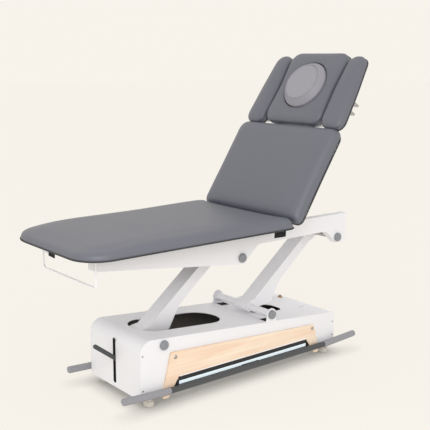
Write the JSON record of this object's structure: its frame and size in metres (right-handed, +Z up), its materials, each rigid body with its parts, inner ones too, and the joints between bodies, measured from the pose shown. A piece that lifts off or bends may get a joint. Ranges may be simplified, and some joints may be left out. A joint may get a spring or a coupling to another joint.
{
  "type": "physiotherapy table",
  "caption": "Height-adjustable treatment table: parallelogram lift on a low cabinet, foot bars, padded leg, tilting back, head pad with face plug and drop arm rests.",
  "frame": {"origin": "on the floor, under the middle of the table's bounding box", "axes": "+X towards the head end, +Y across the table, +Z up"},
  "size_m": [1.6075, 0.6796, 1.4702],
  "materials": {
    "white_powder_coat": "satin powder coat",
    "grey_vinyl": "soft grained vinyl",
    "pale_grey_vinyl": "soft grained vinyl",
    "grey_plastic": "moulded caps",
    "light_grey_plastic": "moulded",
    "dark_grey_bar": "dark coated profile",
    "birch_plywood": "clear lacquer",
    "black_plastic": "matt",
    "bright_steel": "zinc plated",
    "beige_rubber": "matt",
    "plain_plywood": "raw"
  },
  "bodies": {
    "base": {"near_base_side": "white_powder_coat", "far_base_side": "white_powder_coat", "base_cover": "white_powder_coat", "base_pan": "white_powder_coat", "near_wood_panel": "birch_plywood", "far_wood_panel": "birch_plywood", "near_light_strip": "black_plastic", "far_light_strip": "black_plastic", "near_foot_end_foot": "beige_rubber", "far_foot_end_foot": "beige_rubber", "near_head_end_foot": "beige_rubber", "far_head_end_foot": "beige_rubber", "front_axle": "grey_plastic", "rear_axle": "grey_plastic", "lift_motor": "black_plastic", "pedal_bracket": "bright_steel", "control_box": "black_plastic"},
    "front_arm": {"front_lift_arm": "white_powder_coat"},
    "rear_arm": {"rear_lift_arm": "white_powder_coat", "rear_bush_tube": "white_powder_coat"},
    "lift_rod": {"lift_rod": "bright_steel"},
    "upper_frame": {"near_rail": "white_powder_coat", "far_rail": "white_powder_coat", "foot_cross_tube": "white_powder_coat", "head_cross_tube": "white_powder_coat", "upper_front_axle": "grey_plastic", "upper_rear_axle": "grey_plastic", "leg_board": "plain_plywood", "leg_cushion": "grey_vinyl", "back_motor": "black_plastic", "paper_roll_wire": "white_powder_coat"},
    "back": {"back_board": "plain_plywood", "back_cushion": "grey_vinyl", "near_back_bar": "white_powder_coat", "far_back_bar": "white_powder_coat", "back_hinge_shaft": "bright_steel", "head_hinge_shaft": "white_powder_coat"},
    "back_rod": {"back_rod": "bright_steel"},
    "head": {"head_board": "plain_plywood", "head_pad": "grey_vinyl", "near_head_bar": "white_powder_coat", "far_head_bar": "white_powder_coat"},
    "plug": {"face_plug": "pale_grey_vinyl"},
    "near_arm_rest": {"near_arm_pad": "grey_vinyl", "near_arm_bracket": "bright_steel"},
    "far_arm_rest": {"far_arm_pad": "grey_vinyl", "far_arm_bracket": "bright_steel"},
    "pedal": {"castor_pedal": "dark_grey_bar"},
    "foot_castor": {"foot_castor_carrier": "bright_steel"},
    "head_castor": {"head_castor_carrier": "bright_steel"},
    "foot_wheels": {"foot_castor_wheels": "black_plastic"},
    "head_wheels": {"head_castor_wheels": "black_plastic"},
    "near_bar": {"near_foot_bar": "dark_grey_bar", "near_bar_foot_grip": "light_grey_plastic", "near_bar_head_grip": "light_grey_plastic", "near_bar_hanger": "bright_steel"},
    "far_bar": {"far_foot_bar": "dark_grey_bar", "far_bar_foot_grip": "light_grey_plastic", "far_bar_head_grip": "light_grey_plastic", "far_bar_hanger": "bright_steel"}
  },
  "joints": [
    {"name": "lift", "type": "hinge", "parent": "base", "child": "front_arm", "pos_m": [-0.3554, 0, 0.2618], "axis": [0, -1, 0], "range_deg": [-30.9, 29]},
    {"name": "rear_lift", "type": "hinge", "parent": "base", "child": "rear_arm", "pos_m": [0.2601, 0, 0.2732], "axis": [0, -1, 0], "range_deg": [-31, 29.1]},
    {"name": "level", "type": "hinge", "parent": "front_arm", "child": "upper_frame", "pos_m": [0.07559, 0, 0.57402], "axis": [0, -1, 0], "range_deg": [-29.1, 31]},
    {"name": "lift_stroke", "type": "slide", "parent": "base", "child": "lift_rod", "axis": [1, 0, 0], "range_m": [-0.058, 0.0545]},
    {"name": "back_tilt", "type": "hinge", "parent": "upper_frame", "child": "back", "pos_m": [0.31579, 0, 0.67602], "axis": [0, -1, 0], "range_deg": [-56.93, 8]},
    {"name": "back_stroke", "type": "slide", "parent": "upper_frame", "child": "back_rod", "axis": [1, 0, 0], "range_m": [-0.0345, 0.0052]},
    {"name": "head_tilt", "type": "hinge", "parent": "back", "child": "head", "pos_m": [0.617, 0, 1.1386], "axis": [0, -1, 0], "range_deg": [-60, 5]},
    {"name": "near_arm_drop", "type": "hinge", "parent": "head", "child": "near_arm_rest", "pos_m": [0.617, 0, 1.1386], "axis": [0, -1, 0], "range_deg": [-40, 0]},
    {"name": "far_arm_drop", "type": "hinge", "parent": "head", "child": "far_arm_rest", "pos_m": [0.617, 0, 1.1386], "axis": [0, -1, 0], "range_deg": [-40, 0]},
    {"name": "plug_out", "type": "slide", "parent": "head", "child": "plug", "axis": [-0.838, 0, 0.5457], "range_m": [0, 0.06]},
    {"name": "pedal_press", "type": "hinge", "parent": "base", "child": "pedal", "pos_m": [-0.4215, 0, 0.086], "axis": [0, -1, 0], "range_deg": [0, 50]},
    {"name": "foot_castor_drop", "type": "slide", "parent": "base", "child": "foot_castor", "axis": [0, 0, -1], "range_m": [-0.001, 0.0145]},
    {"name": "head_castor_drop", "type": "slide", "parent": "base", "child": "head_castor", "axis": [0, 0, -1], "range_m": [-0.001, 0.0145]},
    {"name": "foot_wheels_roll", "type": "hinge", "parent": "foot_castor", "child": "foot_wheels", "pos_m": [-0.2205, 0, 0.0385], "axis": [0, 1, 0], "continuous": true},
    {"name": "head_wheels_roll", "type": "hinge", "parent": "head_castor", "child": "head_wheels", "pos_m": [0.5245, 0, 0.0385], "axis": [0, 1, 0], "continuous": true},
    {"name": "near_bar_press", "type": "slide", "parent": "base", "child": "near_bar", "axis": [0, 0, 1], "range_m": [-0.006, 0.006], "stiffness_N_per_m": 20000, "springref_m": 0.0012},
    {"name": "far_bar_press", "type": "slide", "parent": "base", "child": "far_bar", "axis": [0, 0, 1], "range_m": [-0.006, 0.006], "stiffness_N_per_m": 20000, "springref_m": 0.0012}
  ],
  "couplings": [
    {"joint": "rear_lift", "follows": "lift", "ratio": 1},
    {"joint": "level", "follows": "lift", "ratio": -1},
    {"joint": "lift_stroke", "follows": "lift", "m_per_rad": 0.105},
    {"joint": "back_stroke", "follows": "back_tilt", "m_per_rad": 0.0341},
    {"joint": "foot_castor_drop", "follows": "pedal_press", "m_per_rad": 0.0162},
    {"joint": "head_castor_drop", "follows": "pedal_press", "m_per_rad": 0.0162}
  ]
}
